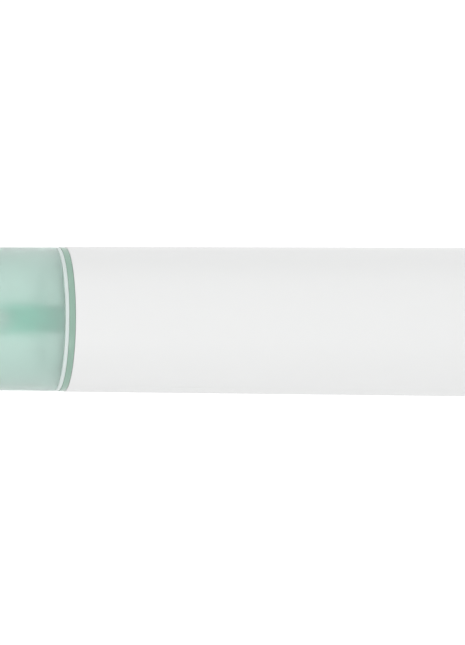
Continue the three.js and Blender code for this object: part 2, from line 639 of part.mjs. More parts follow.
function lensSeal() {
  const z0 = JOINT_Z + COLLAR_HEIGHT + GAP / 2;
  const z1 = LENS_FOOT_Z - GAP / 2;
  const inner = COLLAR_R + GAP;
  const edge = MOUTH_R - LENS_SINK;
  const corner = SEAL_HEIGHT / 4;
  return turned([
    [inner, z0], [edge - corner, z0], [edge, z0 + corner],
    [edge, z1 - corner], [edge - corner, z1], [inner, z1],
  ]);
}

/** White holder that grips the LED board by its edges between two jaws. */
function boardHolder() {
  const top = JOINT_Z + HOLDER_RISE;
  const half = LED_BOARD_WIDTH / 2;
  const open = half - JAW_BITE;
  const base = HOLDER_Z + HOLDER_BASE_T;
  const slit = LED_BOARD_T / 2 + GAP;
  return cut(
    bar(HOLDER_R, HOLDER_Z, top),
    box(-open, open, -HOLDER_R, HOLDER_R, base, top + PAST),
    box(-HOLDER_R, HOLDER_R, -HOLDER_R - PAST, -JAW_DEPTH, base, top + PAST),
    box(-HOLDER_R, HOLDER_R, JAW_DEPTH, HOLDER_R + PAST, base, top + PAST),
    box(-half - GAP, half + GAP, -slit, slit, HOLDER_Z - PAST, top + PAST),
    ...POSTS.map((y) => bar(SCREW_HOLE_R, HOLDER_Z - PAST, base + PAST, 0, y, FEW_SIDES)),
  );
}

// ---------------------------------------------------------------- light section

/** Outline of the domed end, from the shoulder up, for a wall that stands off the tube by an offset. */
function dome(offset) {
  const radius = lensR(LENS_SHOULDER_Z) + offset;
  const height = DOME_HEIGHT + offset;
  return Array.from({ length: DOME_STEPS + 1 }, (_, i) => {
    const a = (i / DOME_STEPS) * (Math.PI / 2);
    const r = i === DOME_STEPS ? 0 : radius * Math.cos(a);
    return [r, LENS_SHOULDER_Z + height * Math.sin(a)];
  });
}

/** Drafted tube, open at its foot and closed by a dome at its tip. */
function lensTube() {
  const bottom = LENS_FOOT_Z - PAST;
  const outside = turned([[0, LENS_FOOT_Z], [lensR(LENS_FOOT_Z), LENS_FOOT_Z], ...dome(0)]);
  return cut(outside, turned([[0, bottom], [lensR(bottom) - LENS_WALL, bottom], ...dome(-LENS_WALL)]));
}

/** Soft cap pulled over the tip. */
function tipBumper() {
  const foot = LENS_SHOULDER_Z - BUMPER_SKIRT;
  const outer = lensR(foot) + GAP + BUMPER_WALL;
  const chamfer = BUMPER_WALL / 2;
  const body = [[0, foot], [outer - chamfer, foot], [outer, foot + chamfer], ...dome(GAP + BUMPER_WALL)];
  return cut(turned(body), turned([[0, foot - PAST], [lensR(foot) + GAP, foot - PAST], ...dome(GAP)]));
}

const CLIP_Z = LENS_SHOULDER_Z - CLIP_T;

function ledBoard() {
  const half = LED_BOARD_WIDTH / 2;
  return box(-half, half, -LED_BOARD_T / 2, LED_BOARD_T / 2, JOINT_Z - LED_BOARD_TAIL, CLIP_Z + CLIP_T);
}

/** Slotted disc that centres the far end of the board in the tube. */
function boardClip() {
  const half = LED_BOARD_WIDTH / 2 + GAP;
  const slit = LED_BOARD_T / 2 + GAP;
  const disc = bar(lensR(LENS_SHOULDER_Z) - LENS_WALL - GAP, CLIP_Z, CLIP_Z + CLIP_T);
  return cut(disc, box(-half, half, -slit, slit, CLIP_Z - PAST, CLIP_Z + CLIP_T + PAST));
}

/** LED with its flange and dome, with height 0 at the middle of the board. */
function led() {
  const foot = LED_BOARD_T / 2 + GAP;
  const flange = foot + LED_FLANGE_T;
  const crown = foot + LED_BODY;
  const flangeR = LED_R + LED_FLANGE;
  return turned(
    [
      [0, foot], [flangeR, foot], [flangeR, flange], [LED_R, flange], [LED_R, crown],
      [LED_R * Math.SQRT1_2, crown + LED_R * Math.SQRT1_2], [0, crown + LED_R],
    ],
    LED_SIDES,
  );
}

// ---------------------------------------------------------------- finishes

function finish(color, roughness, metalness = 0) {
  return new THREE.MeshStandardMaterial({ color, roughness, metalness });
}
const WHITE_SHELL = finish(0xeef0ef, 0.5);
const GREEN_LENS = finish(0x9fd0bf, 0.35);
const GREEN_CLEAR = finish(0x7fb8a0, 0.15);
const PALE_SEAL = finish(0xd5e0dd, 0.45);
const WHITE_FRAME = finish(0xe6e8e6, 0.6);
const SOFT_GREY = finish(0xa9b0ae, 0.8);
const SOFT_WHITE = finish(0xe2e5e4, 0.75);
const BOARD_GREEN = finish(0x1f7a58, 0.4);
const LED_GREEN = finish(0x6fd6a0, 0.2);
const BLACK_PART = finish(0x202224, 0.5);
const BRASS = finish(0xc9a659, 0.35, 1);
const STEEL = finish(0xb9bdc0, 0.3, 1);
const CELL_JACKET = finish(0x5d6a70, 0.45);
const MAGNET_GREY = finish(0x6d7073, 0.4, 1);

// ---------------------------------------------------------------- the assembly

const baton = new THREE.Group();

/** A sub-assembly in the baton, with its own position and turn. */
function section(position = [0, 0, 0], rotation = [0, 0, 0]) {
  const group = new THREE.Group();
  group.position.set(...position);
  group.rotation.set(...rotation);
  baton.add(group);
  return group;
}

/** Adds a solid to a sub-assembly as a named mesh. */
function place(group, name, shape, material, position = [0, 0, 0], rotation = [0, 0, 0]) {
  const { numProp, vertProperties, triVerts } = solid(shape).getMesh();
  const geometry = new THREE.BufferGeometry();
  geometry.setAttribute("position", new THREE.BufferAttribute(new Float32Array(vertProperties), numProp));
  geometry.setIndex(new THREE.BufferAttribute(new Uint32Array(triVerts), 1));
  geometry.computeVertexNormals();
  const mesh = new THREE.Mesh(geometry, material);
  mesh.name = name;
  mesh.position.set(...position);
  mesh.rotation.set(...rotation);
  group.add(mesh);
}

const QUARTER = Math.PI / 2;

const tail = section();
place(tail, "tail_boot", tailBoot(), SOFT_GREY);
place(tail, "magnet_retainer", magnetRetainer(), WHITE_FRAME);
RETAINER_SCREWS.forEach(([x, y], i) => {
  const foot = RETAINER_Z + GAP / 2;
  place(tail, `retainer_screw_${i + 1}`, screw(POCKET_TOP_Z - foot - GAP), STEEL, [x, y, foot]);
});
place(tail, "magnet", magnet(), MAGNET_GREY);
place(tail, "end_cap", endCap(), WHITE_SHELL);
place(tail, "cap_seal", capSeal(), BLACK_PART);
place(tail, "contact_cup", contactCup(), BRASS);
place(tail, "battery_spring", batterySpring(), STEEL);
const ring = new THREE.TorusGeometry(RING_R, RING_WIRE_R, RING_SIDES, SIDES);
place(tail, "lanyard_ring", ring, STEEL, [0, LUG_Y, LUG_Z - RING_R], [QUARTER, 0, 0]);

const battery = section();
place(battery, "battery_carrier", batteryCarrier(), BLACK_PART);
CELL_PLACES.forEach(([x, y], i) => {
  // Every second cell stands on its head.
  const upright = i % 2 === 0;
  const z = upright ? CELL_Z : CELL_Z + CELL_LENGTH + CELL_NUB;
  place(battery, `cell_${i + 1}`, cell(), CELL_JACKET, [x, y, z], [upright ? 0 : Math.PI, 0, 0]);
});
place(battery, "cell_link_top", cellLink(0, 1, TOP_LINK_Z), BRASS);
place(battery, "cell_link_foot", cellLink(1, 2, LINK_Z), BRASS);
place(battery, "carrier_foot_contact", contactDisc(FOOT_CONTACT_R, CARRIER_CONTACT_Z), BRASS);
place(battery, "carrier_top_contact", contactDisc(TOP_CONTACT_R, TOP_CONTACT_Z), BRASS);

const handle = section();
place(handle, "handle_shell", handleShell(), WHITE_SHELL);
place(handle, "grip_sleeve", gripSleeve(), SOFT_GREY);
place(handle, "chassis", chassis(), WHITE_FRAME);
place(handle, "front_contact", frontContact(), BRASS);
place(handle, "return_strip", returnStrip(), BRASS);
place(handle, "driver_board", driverBoard(), BOARD_GREEN);
BOARD_SCREWS.forEach(([x, z], i) => {
  const face = BOARD_FACE_Y + GAP + SCREW_HEAD_T;
  place(handle, `board_screw_${i + 1}`, screw(face - TRAY_Y), STEEL, [x, face, z], [QUARTER, 0, 0]);
});
place(handle, "inductor", inductor(), BLACK_PART, [-DRUM_X, 0, SWITCH_Z - DRUM_DROP], [-QUARTER, 0, 0]);
const capacitorY = BOARD_FACE_Y + GAP + CAPACITOR_R;
const capacitorZ = SWITCH_Z - DRUM_DROP - CAPACITOR_LENGTH / 2;
const can = bar(CAPACITOR_R, 0, CAPACITOR_LENGTH, 0, 0, CELL_SIDES);
place(handle, "capacitor", can, STEEL, [DRUM_X, capacitorY, capacitorZ]);
place(handle, "driver_chip", driverChip(), BLACK_PART, [0, 0, SWITCH_Z + CHIP_RISE]);
place(handle, "board_header", boardHeader(), BLACK_PART);

const switchGroup = section([0, 0, SWITCH_Z], [-QUARTER, 0, 0]);
place(switchGroup, "push_switch", pushSwitch(), BLACK_PART);
place(switchGroup, "switch_plunger", switchPlunger(), WHITE_FRAME);
place(switchGroup, "switch_button", switchButton(), SOFT_GREY);
place(switchGroup, "switch_bezel", switchBezel(), WHITE_SHELL);

const joint = section();
place(joint, "lens_collar", lensCollar(), GREEN_CLEAR);
place(joint, "lens_seal", lensSeal(), PALE_SEAL);
place(joint, "board_holder", boardHolder(), WHITE_FRAME);
POSTS.forEach((y, i) => {
  const face = HOLDER_Z + HOLDER_BASE_T + GAP + SCREW_HEAD_T;
  place(joint, `holder_screw_${i + 1}`, screw(face - LEDGE_Z - GAP), STEEL, [0, y, face], [Math.PI, 0, 0]);
});

const light = section();
place(light, "lens_tube", lensTube(), GREEN_LENS);
place(light, "tip_bumper", tipBumper(), SOFT_WHITE);
place(light, "led_board", ledBoard(), BOARD_GREEN);
place(light, "board_clip", boardClip(), WHITE_FRAME);

const LED_PITCH = (LENS_TOP_Z - LED_LAST - JOINT_Z - LED_FIRST) / (LED_COUNT - 1);
const ledRows = { front: section([0, 0, 0], [0, 0, Math.PI]), back: section() };
Object.entries(ledRows).forEach(([side, row]) => {
  for (let i = 0; i < LED_COUNT; i++) {
    const z = JOINT_Z + LED_FIRST + i * LED_PITCH;
    place(row, `led_${side}_${i + 1}`, led(), LED_GREEN, [0, 0, z], [-QUARTER, 0, 0]);
  }
});

export default baton;
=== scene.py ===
"""Traffic baton light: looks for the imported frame. Metres, +Z up, the baton stands on its tail boot."""
import json
import math

import bmesh
import bpy
import numpy as np
from mathutils import Matrix, Vector


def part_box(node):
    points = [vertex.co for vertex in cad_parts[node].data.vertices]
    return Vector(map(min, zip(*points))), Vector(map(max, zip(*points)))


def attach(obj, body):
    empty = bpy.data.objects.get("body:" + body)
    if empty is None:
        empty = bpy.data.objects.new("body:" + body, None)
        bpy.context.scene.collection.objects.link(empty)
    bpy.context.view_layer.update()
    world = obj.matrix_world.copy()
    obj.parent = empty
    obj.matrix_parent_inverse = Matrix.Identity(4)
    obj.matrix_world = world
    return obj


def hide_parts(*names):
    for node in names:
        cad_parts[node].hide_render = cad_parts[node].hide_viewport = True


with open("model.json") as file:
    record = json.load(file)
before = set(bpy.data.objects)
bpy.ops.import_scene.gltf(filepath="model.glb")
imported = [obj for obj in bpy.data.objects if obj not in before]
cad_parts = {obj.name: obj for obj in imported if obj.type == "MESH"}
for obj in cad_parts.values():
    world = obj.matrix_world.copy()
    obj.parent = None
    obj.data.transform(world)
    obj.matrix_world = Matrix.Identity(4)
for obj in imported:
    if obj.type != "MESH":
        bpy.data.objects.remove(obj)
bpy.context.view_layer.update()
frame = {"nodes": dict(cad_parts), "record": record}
NODES = frame["nodes"]
MM = 0.001
TURN = 2 * math.pi
QUARTER = TURN / 4
SAME = 1e-6  # closer than this is the same place
MERGE = 1e-7  # vertices closer than this become one


# ---------------------------------------------------------------- measures taken from the frame

def points(node):
    """The CAD node's vertices, as an array of rows (x, y, z)."""
    mesh = NODES[node].data
    flat = np.empty(len(mesh.vertices) * 3)
    mesh.vertices.foreach_get("co", flat)
    return flat.reshape(-1, 3)


def radius_at(node, z, widest=True, within=0.05 * MM):
    """Radius about the baton's axis of the node's outermost, or innermost, vertices at a height."""
    p = points(node)
    r = np.hypot(p[:, 0], p[:, 1])[np.abs(p[:, 2] - z) < within]
    return float(r.max() if widest else r.min())


def low(node):
    return Vector(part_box(node)[0])


def high(node):
    return Vector(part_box(node)[1])


def middle(node):
    return (low(node) + high(node)) / 2


def joint_place(name):
    """A point on the joint's axis."""
    joint = next(j for j in frame["record"]["behaviour"]["joints"] if j["name"] == name)
    return Vector(joint["pos_m"])


# ---------------------------------------------------------------- making meshes

def mesh_piece(name, verts, faces):
    """A new object from vertices and faces, with smooth shading that breaks at sharp edges."""
    mesh = bpy.data.meshes.new(name)
    mesh.from_pydata([tuple(v) for v in verts], [], faces)
    piece = bpy.data.objects.new(name, mesh)
    bpy.context.scene.collection.objects.link(piece)
    work = bmesh.new()
    work.from_mesh(mesh)
    bmesh.ops.remove_doubles(work, verts=work.verts, dist=MERGE)
    bmesh.ops.dissolve_degenerate(work, edges=work.edges, dist=MERGE)
    bmesh.ops.recalc_face_normals(work, faces=work.faces)
    work.to_mesh(mesh)
    work.free()
    shade(piece)
    return piece


def shade(piece, degrees=35):
    """Smooth faces, with edges sharper than the angle marked sharp."""
    mesh = piece.data
    work = bmesh.new()
    work.from_mesh(mesh)
    limit = math.radians(degrees)
    for face in work.faces:
        face.smooth = True
    for edge in work.edges:
        edge.smooth = len(edge.link_faces) == 2 and edge.calc_face_angle(0) < limit
    work.to_mesh(mesh)
    work.free()


def skin(name, rows, looped, capped=False):
    """A tube from rows of points, one row a ring, joined end to end or left open or capped at its ends."""
    around = len(rows[0])
    last = len(rows) - 1
    faces = []
    for i in range(len(rows) if looped else last):
        j = (i + 1) % len(rows)
        for k in range(around):
            m = (k + 1) % around
            faces.append((i * around + k, i * around + m, j * around + m, j * around + k))
    if capped:
        faces.append(list(range(around))[::-1])
        faces.append([last * around + k for k in range(around)])
    return mesh_piece(name, [p for row in rows for p in row], faces)


MOST_OF_EDGE = 0.48  # two corners on one edge never meet


def rounded(outline, radii, steps=4):
    """Rounds the corners of a closed outline of (r, z) pairs. radii has one radius a corner, or 0."""
    made = []
    n = len(outline)
    for i, (corner, radius) in enumerate(zip(outline, radii)):
        if radius <= 0:
            made.append(corner)
            continue
        here = Vector(corner)
        before = Vector(outline[i - 1]) - here
        after = Vector(outline[(i + 1) % n]) - here
        reach = min(radius, before.length * MOST_OF_EDGE, after.length * MOST_OF_EDGE)
        a = here + before.normalized() * reach
        b = here + after.normalized() * reach
        for k in range(steps + 1):
            t = k / steps
            p = a * (1 - t) ** 2 + here * 2 * t * (1 - t) + b * t ** 2
            made.append((p.x, p.y))
    return made


def lathe(name, outline, segments=128, closed=True, angles=None, shape=None):
    """Turns an outline of (r, z) pairs about the Z axis. A closed outline makes a ring, and an open one ends
    on the axis. angles sets uneven steps, and shape(r, z, angle) gives each point its final radius."""
    angles = angles or [TURN * k / segments for k in range(segments)]
    rows = []
    for r, z in outline:
        reaches = [shape(r, z, a) if shape and r > 0 else r for a in angles]
        rows.append([(reach * math.cos(a), reach * math.sin(a), z) for reach, a in zip(reaches, angles)])
    return skin(name, rows, closed)


def drill(name, radius, start, end, segments=24):
    """A round tool for cutting a hole."""
    return lathe(name, [(0, start), (radius, start), (radius, end), (0, end)], segments, False)


def rounded_bar(name, x, y, z, radius):
    """A block between pairs of x, y and z, with rounded edges."""
    work = bmesh.new()
    bmesh.ops.create_cube(work, size=1.0)
    for v in work.verts:
        v.co = [pair[0] if c < 0 else pair[1] for c, pair in zip(v.co, (x, y, z))]
    bmesh.ops.bevel(work, geom=work.edges[:], offset=radius, segments=3, profile=0.5, affect="EDGES")
    verts = [v.co.copy() for v in work.verts]
    faces = [[v.index for v in f.verts] for f in work.faces]
    work.free()
    return mesh_piece(name, verts, faces)


def helix_row(radius, size, angle, z, around):
    """A ring of points round the place on a helix at an angle and a height."""
    row = []
    for k in range(around):
        b = TURN * k / around
        r = radius + size * math.cos(b)
        row.append((r * math.cos(angle), r * math.sin(angle), z + size * math.sin(b)))
    return row


def boolean(piece, tool, operation):
    """Joins or cuts with another object, which then goes."""
    bpy.context.view_layer.update()
    mod = piece.modifiers.new("boolean", "BOOLEAN")
    mod.operation = operation
    mod.object = tool
    mod.solver = "EXACT"
    graph = bpy.context.evaluated_depsgraph_get()
    made = bpy.data.meshes.new_from_object(piece.evaluated_get(graph), depsgraph=graph)
    piece.modifiers.clear()
    piece.data = made
    bpy.data.objects.remove(tool, do_unlink=True)


def body_of(node):
    for body, names in frame["record"]["behaviour"]["bodies"].items():
        if node in names:
            return body


def slot_of(node):
    for row in frame["record"]["subparts"]:
        if row["node"] == node:
            return row["material_slot"]


# ---------------------------------------------------------------- materials

class Nodes:
    """A small helper round a material's or a world's node tree."""

    def __init__(self, tree):
        self.tree = tree

    def add(self, kind, inputs=(), **values):
        node = self.tree.nodes.new(kind)
        for key, value in values.items():
            setattr(node, key, value)
        for key, value in dict(inputs).items():
            if isinstance(value, bpy.types.NodeSocket):
                self.tree.links.new(value, node.inputs[key])
            else:
                node.inputs[key].default_value = value
        return node

    def math(self, operation, a, b):
        return self.add("ShaderNodeMath", {0: a, 1: b}, operation=operation).outputs[0]

    def mix(self, factor, a, b):
        """Colour between a and b; each is a colour or a socket."""
        node = self.add("ShaderNodeMix", {0: factor}, data_type="RGBA")
        for key, value in ((6, a), (7, b)):
            if isinstance(value, bpy.types.NodeSocket):
                self.tree.links.new(value, node.inputs[key])
            else:
                node.inputs[key].default_value = value
        return node.outputs[2]

    def spread(self, value, least, most):
        """A 0 to 1 value mapped to a range."""
        inputs = {"Value": value, "To Min": least, "To Max": most}
        return self.add("ShaderNodeMapRange", inputs).outputs["Result"]

    def noise(self, where, scale, detail):
        inputs = {"Vector": where, "Scale": scale, "Detail": detail}
        return self.add("ShaderNodeTexNoise", inputs).outputs["Fac"]

    def ramp(self, value, stops):
        """Grey levels along a 0 to 1 value; stops are (place, grey)."""
        node = self.add("ShaderNodeValToRGB", {"Fac": value})
        elements = node.color_ramp.elements
        while len(elements) < len(stops):
            elements.new(0.5)
        for element, (place, grey) in zip(elements, stops):
            element.position = place
            element.color = (grey, grey, grey, 1)
        return node.outputs["Color"]


def tinted(color, factor):
    """The colour made lighter or darker by a factor."""
    return tuple(min(1.0, c * factor) for c in color[:3]) + (1.0,)


UNEVEN = 0.12  # share by which the roughness varies
WORN_TINT = 1.35  # how much brighter a rubbed edge is
EDGE_STARTS = 0.51  # pointiness at which an edge begins to look rubbed
EDGE_FULL = 0.58


def surface(
    name, color, roughness, mottle=0.02, broad_scale=30.0,
    grain=700.0, grain_depth=0.015, wear=0.0, **sockets,
):
    """A moulded or rolled surface: colour with a faint broad mottle, uneven roughness, a fine grain as bump,
    and brighter edges where it is handled. grain_depth is in millimetres."""
    material = bpy.data.materials.new(name)
    material.use_nodes = True
    nodes = Nodes(material.node_tree)
    link = material.node_tree.links.new
    shader = material.node_tree.nodes["Principled BSDF"]
    where = nodes.add("ShaderNodeTexCoord").outputs["Object"]
    broad = nodes.noise(where, broad_scale, 3.0)
    fine = nodes.noise(where, grain, 2.0)
    tint = nodes.mix(broad, tinted(color, 1 - mottle), tinted(color, 1 + mottle))
    if wear:
        edge = nodes.add("ShaderNodeNewGeometry").outputs["Pointiness"]
        rubbed = nodes.ramp(edge, ((EDGE_STARTS, 0.0), (EDGE_FULL, wear)))
        tint = nodes.mix(rubbed, tint, tinted(color, WORN_TINT))
    link(tint, shader.inputs["Base Color"])
    uneven = nodes.spread(broad, roughness * (1 - UNEVEN), roughness * (1 + UNEVEN))
    link(uneven, shader.inputs["Roughness"])
    bump = nodes.add("ShaderNodeBump", {"Height": fine, "Strength": 1.0, "Distance": grain_depth * MM})
    link(bump.outputs["Normal"], shader.inputs["Normal"])
    for key, value in sockets.items():
        shader.inputs[key.replace("_", " ")].default_value = value
    return material


WHITE_SHELL = surface(
    "white_shell", (0.688, 0.692, 0.69, 1), 0.38, mottle=0.005, grain=1400, grain_depth=0.004,
    Specular_IOR_Level=0.25,
)
GREEN_LENS = surface(
    "green_lens", (0.785, 0.945, 0.89, 1), 0.33, mottle=0.02, grain=900, grain_depth=0.006,
    Transmission_Weight=0.82, IOR=1.49,
)
GREEN_CLEAR = surface(
    "green_clear", (0.42, 0.64, 0.525, 1), 0.22, mottle=0.015, grain=500, grain_depth=0.001,
    Transmission_Weight=0.45, IOR=1.49,
)
PALE_SEAL = surface(
    "pale_seal", (0.72, 0.80, 0.78, 1), 0.4,
    mottle=0.02, Transmission_Weight=0.25, IOR=1.41,
)
WHITE_FRAME = surface("white_frame", (0.93, 0.95, 0.94, 1), 0.5, mottle=0.015)
GRIP_GREY = surface(
    "grip_grey", (0.21, 0.235, 0.23, 1), 0.68,
    mottle=0.05, grain=1100, grain_depth=0.03, wear=0.25,
)
BUTTON_GREY = surface(
    "button_grey", (0.17, 0.21, 0.20, 1), 0.55,
    mottle=0.04, grain=1300, grain_depth=0.015,
)
SOFT_WHITE = surface(
    "soft_white", (0.66, 0.69, 0.68, 1), 0.6,
    mottle=0.02, grain=1100, grain_depth=0.02,
)
BOARD_GREEN = surface(
    "board_green", (0.03, 0.70, 0.50, 1), 0.35,
    mottle=0.08, broad_scale=90, grain=2400, grain_depth=0.006,
)
LED_GREEN = surface(
    "led_green", (0.90, 0.97, 0.94, 1), 0.10, mottle=0.02, grain_depth=0.0005,
    Transmission_Weight=0.35, IOR=1.52,
)
BLACK_PART = surface("black_part", (0.02, 0.021, 0.023, 1), 0.45, mottle=0.1, grain_depth=0.01)
BLACK_RUBBER = surface("black_rubber", (0.015, 0.015, 0.015, 1), 0.6, mottle=0.1, grain_depth=0.01)
BRASS = surface(
    "brass_sheet", (0.75, 0.55, 0.24, 1), 0.28,
    mottle=0.06, broad_scale=120, grain=900, grain_depth=0.003, Metallic=1.0,
)
STEEL = surface(
    "zinc_steel", (0.62, 0.63, 0.64, 1), 0.3,
    mottle=0.05, broad_scale=160, grain=900, grain_depth=0.004, Metallic=1.0,
)
CAN_SILVER = surface("can_silver", (0.70, 0.71, 0.73, 1), 0.25, mottle=0.04, grain_depth=0.003, Metallic=1.0)
CELL_JACKET = surface(
    "cell_jacket", (0.10, 0.13, 0.15, 1), 0.3,
    mottle=0.05, grain_depth=0.003, Coat_Weight=0.4,
)
MAGNET_GREY = surface(
    "magnet_grey", (0.40, 0.41, 0.42, 1), 0.32,
    mottle=0.05, grain_depth=0.004, Metallic=1.0,
)

FINISHES = {
    "shell_white": WHITE_SHELL,
    "lens_green": GREEN_LENS,
    "collar_green": GREEN_CLEAR,
    "seal_pale": PALE_SEAL,
    "frame_white": WHITE_FRAME,
    "grip_grey": GRIP_GREY,
    "button_grey": BUTTON_GREY,
    "bumper_white": SOFT_WHITE,
    "board_green": BOARD_GREEN,
    "led_green": LED_GREEN,
    "part_black": BLACK_PART,
    "seal_black": BLACK_RUBBER,
    "can_silver": CAN_SILVER,
    "brass": BRASS,
    "steel": STEEL,
    "cell_jacket": CELL_JACKET,
    "magnet_grey": MAGNET_GREY,
}

for node, cad in NODES.items():
    cad.data.materials.clear()
    cad.data.materials.append(FINISHES[slot_of(node)])


def belongs_to(piece, node):
    """The piece goes with a CAD node: the same body, slot and finish."""
    piece.data.materials.clear()
    piece.data.materials.append(FINISHES[slot_of(node)])
    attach(piece, body_of(node))


def stands_for(piece, node):
    """The piece takes the CAD node's place, body, slot and finish."""
    belongs_to(piece, node)
    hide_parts(node)


# ---------------------------------------------------------------- outlines read from the CAD model

OWN_AXIS = Matrix.Identity(4)
FROM_X = Matrix.Rotation(math.radians(90), 4, "Z")  # cuts the outline on the X side instead of the -Y side
BESIDE = 2e-6  # how far the cutting plane stands off the vertices of the CAD outline
ON_AXIS = 1e-5  # a radius below this is on the axis
FLAT = 4e-6  # a point nearer than this to the straight between its neighbours is left out


def axis_of(node, along="Z"):
    """Matrix from a frame whose Z is the node's own axis to the baton's frame. along is Z, Y or -Y."""
    m = middle(node)
    if along == "Z":
        return Matrix.Translation((m.x, m.y, 0))
    turn = math.radians(-90 if along == "Y" else 90)
    return Matrix.Translation((m.x, 0, m.z)) @ Matrix.Rotation(turn, 4, "X")


def outline_of(node, to_axis=OWN_AXIS, whole_rings=False):
    """The turned node's outline as (r, z) pairs in order, cut from its CAD mesh on the -Y side of its axis.
    It starts and ends on the axis, or it is a closed loop. whole_rings leaves a screw thread out."""
    work = bmesh.new()
    work.from_mesh(NODES[node].data)
    work.transform(to_axis.inverted())
    bmesh.ops.remove_doubles(work, verts=work.verts, dist=MERGE)

    def bisect(place, normal, **how):
        everything = work.verts[:] + work.edges[:] + work.faces[:]
        made = bmesh.ops.bisect_plane(work, geom=everything, plane_co=place, plane_no=normal, **how)
        return made["geom_cut"]

    bisect((0, BESIDE, 0), (0, 1, 0), clear_outer=True)
    neighbours = {}
    for edge in bisect((BESIDE, 0, 0), (1, 0, 0)):
        if isinstance(edge, bmesh.types.BMEdge):
            a, b = ((round(-v.co.y, 7), round(v.co.z, 7)) for v in edge.verts)
            if a != b:
                neighbours.setdefault(a, []).append(b)
                neighbours.setdefault(b, []).append(a)
    work.free()
    chains = []
    left = dict.fromkeys(neighbours)
    while left:
        ends = [p for p in left if len(neighbours[p]) == 1]
        here = min(ends or left, key=lambda p: p[1])
        chain = []
        while here is not None:
            chain.append(here)
            left.pop(here)
            here = next((p for p in neighbours[here] if p in left), None)
        chains.append(chain)
    line = max(chains, key=lambda chain: sum(math.dist(p, q) for p, q in zip(chain, chain[1:])))
    closed = line[0] in neighbours[line[-1]]
    if whole_rings:
        heights = np.array(ring_heights(node))
        line = [p for p in line if np.abs(heights - p[1]).min() < 2 * SAME]
    line = straightened(line, closed)
    if closed:
        return line
    return [(0.0, line[0][1])] + [p for p in line if p[0] > ON_AXIS] + [(0.0, line[-1][1])]


def straightened(line, closed):
    """Without the points that lie on the straight between their neighbours."""
    kept = list(line)
    i = 0
    while i < len(kept):
        a, p, b = (np.array(kept[j % len(kept)]) for j in (i - 1, i, i + 1))
        span = b - a
        off = abs(span[0] * (p - a)[1] - span[1] * (p - a)[0]) / (np.linalg.norm(span) + 1e-12)
        end = not closed and i in (0, len(kept) - 1)
        if off < FLAT and not end:
            del kept[i]
            i = max(0, i - 2)
        else:
            i += 1
    return kept


def softened(line, radius, steps=4, only=None):
    """Rounds the corners of an outline that aren't on the axis, or only those where only(r, z) is true."""
    radii = [radius if r > ON_AXIS and (not only or only(r, z)) else 0 for r, z in line]
    return rounded(line, radii, steps)


def dense(line, step, low_z=-1.0, high_z=1.0):
    """Splits the stretches of a closed outline between two heights into short steps."""
    made = []
    for (r0, z0), (r1, z1) in zip(line, line[1:] + line[:1]):
        made.append((r0, z0))
        cuts = {k * step for k in range(math.ceil(low_z / step), math.floor(high_z / step) + 1)}
        inside = [c for c in cuts if min(z0, z1) + step / 4 < c < max(z0, z1) - step / 4]
        for z in sorted(inside, reverse=z1 < z0):
            made.append((r0 + (r1 - r0) * (z - z0) / (z1 - z0), z))
    return made


def ring_heights(node, least=20):
    """Heights at which the CAD node has whole rings of vertices, which a thread's vertices aren't."""
    p = points(node)
    z = np.round(p[:, 2], 6)
    a = np.round(np.arctan2(p[:, 1], p[:, 0]), 3)
    return [float(height) for height in np.unique(z) if len(np.unique(a[z == height])) >= least]


def smoothstep(a, b, x):
    t = min(1.0, max(0.0, (x - a) / (b - a)))
    return t * t * (3 - 2 * t)


# ---------------------------------------------------------------- handle

SWITCH_Z = middle("switch_bezel").z
PAD_Y = high("handle_shell").y


def pad_reach():
    """Radius of the switch's hole and of the pad round it, from the CAD pad's flat face."""
    p = points("handle_shell")
    face = p[np.abs(p[:, 1] - PAD_Y) < SAME]
    reach = np.hypot(face[:, 0], face[:, 2] - SWITCH_Z)
    return float(reach.min()), float(reach.max())


HOLE_R, PAD_R = pad_reach()
BORE_R = radius_at("handle_shell", high("handle_shell").z, widest=False)


def with_pad(r, z, angle):
    """Raises the skin of the handle to the pad round the switch, with an edge that widens at the sides."""
    aside = math.cos(angle)
    forward = math.sin(angle)
    if r < BORE_R + 0.3 * MM or forward < 0.5:
        return r
    x = PAD_Y * aside / forward
    reach = math.hypot(x, z - SWITCH_Z)
    edge = PAD_R + 0.3 * MM + 2.2 * MM * abs(x) / (reach + 1e-9)
    lift = 1 - smoothstep(PAD_R - 0.9 * MM, edge, reach)
    return r + lift * max(0.0, PAD_Y / forward - r)


def build_handle():
    """Tapered shell with the flat pad and the hole for the switch."""
    line = softened(outline_of("handle_shell", whole_rings=True), 0.22 * MM)
    around_pad = PAD_R + 3.4 * MM
    line = dense(line, 0.4 * MM, SWITCH_Z - around_pad, SWITCH_Z + around_pad)
    line = dense(line, 6 * MM)
    fine = 150  # steps across the side with the pad
    coarse = 80  # steps round the rest
    side = math.radians(45)
    angles = [QUARTER - side + 2 * side * k / fine for k in range(fine)]
    angles += [QUARTER + side + (TURN - 2 * side) * k / coarse for k in range(coarse)]
    piece = lathe("handle_shell_skin", line, closed=True, angles=angles, shape=with_pad)
    tool = drill("hole", HOLE_R, BORE_R / 2, PAD_Y + 2 * MM, 96)
    tool.data.transform(axis_of("switch_bezel", "Y"))
    boolean(piece, tool, "DIFFERENCE")
    shade(piece, 40)
    stands_for(piece, "handle_shell")


FLUTES = 48
FLUTE_DEPTH = 0.3  # half the share of a rib's height that a flute takes away


